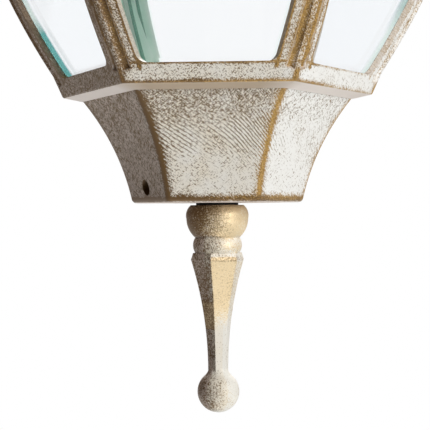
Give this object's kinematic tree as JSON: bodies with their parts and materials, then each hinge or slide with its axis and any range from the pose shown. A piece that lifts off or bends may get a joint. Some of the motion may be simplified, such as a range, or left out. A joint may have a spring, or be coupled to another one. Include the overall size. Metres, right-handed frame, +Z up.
{
  "type": "hanging street lantern",
  "caption": "Six-sided hanging street lantern: cream-over-gold cast cage with bent bevelled panes, swept roof, swinging bail, flared base cup and a drop finial.",
  "frame": {"origin": "centre of the hanging eye in the bail", "axes": "+Z up along the lantern's axis, -Y out of the front face of the hexagon, +X to the right; the eye's hole runs along Y"},
  "size_m": [0.2608, 0.2356, 0.4685],
  "materials": {
    "antique_white_casting": "cream paint brushed over gold, worn at the edges",
    "antique_gold_casting": "gold paint with cream brushed over it",
    "antique_white_steel": "cream paint brushed over gold",
    "bevelled_glass": "clear, polished, green at the edges",
    "zinc_steel": "zinc plated",
    "spring_steel": "rolled strip",
    "brass": "bright turned",
    "black_rubber": "matt",
    "lampholder_plastic": "heat-proof, matt white",
    "opal_lamp": "opal",
    "terminal_plastic": "natural nylon",
    "brown_wire": "insulated wire",
    "blue_wire": "insulated wire"
  },
  "bodies": {
    "bail": {"bail": "antique_white_steel"},
    "lantern": {"bail_screws": "brass", "top_knob": "antique_gold_casting", "top_tube": "zinc_steel", "top_washer": "zinc_steel", "top_nut": "zinc_steel", "roof": "antique_white_casting", "roof_seal": "black_rubber", "roof_screws": "brass", "cage": "antique_white_casting", "pane_clips": "spring_steel", "clip_screws": "zinc_steel", "base_plate": "zinc_steel", "cup_screws": "zinc_steel", "base_cup": "antique_white_casting", "finial_gasket": "black_rubber", "finial": "antique_gold_casting", "finial_stud": "zinc_steel", "finial_washer": "zinc_steel", "finial_nut": "zinc_steel", "crossbar": "zinc_steel", "crossbar_screws": "zinc_steel", "earth_screw": "brass", "holder_nipple": "zinc_steel", "holder_nut": "zinc_steel", "holder_cap": "lampholder_plastic", "holder_body": "lampholder_plastic", "screw_shell": "brass", "centre_contact": "brass", "lamp": "opal_lamp", "terminal_block": "terminal_plastic", "terminal_screws": "brass", "wire_live": "brown_wire", "wire_neutral": "blue_wire", "pane_1": "bevelled_glass", "pane_2": "bevelled_glass", "pane_3": "bevelled_glass", "pane_4": "bevelled_glass", "pane_5": "bevelled_glass", "pane_6": "bevelled_glass"}
  },
  "joints": [
    {"name": "bail_swing", "type": "hinge", "parent": "bail", "child": "lantern", "pos_m": [0, 0, -0.0423], "axis": [1, 0, 0], "range_deg": [-90, 90]}
  ]
}
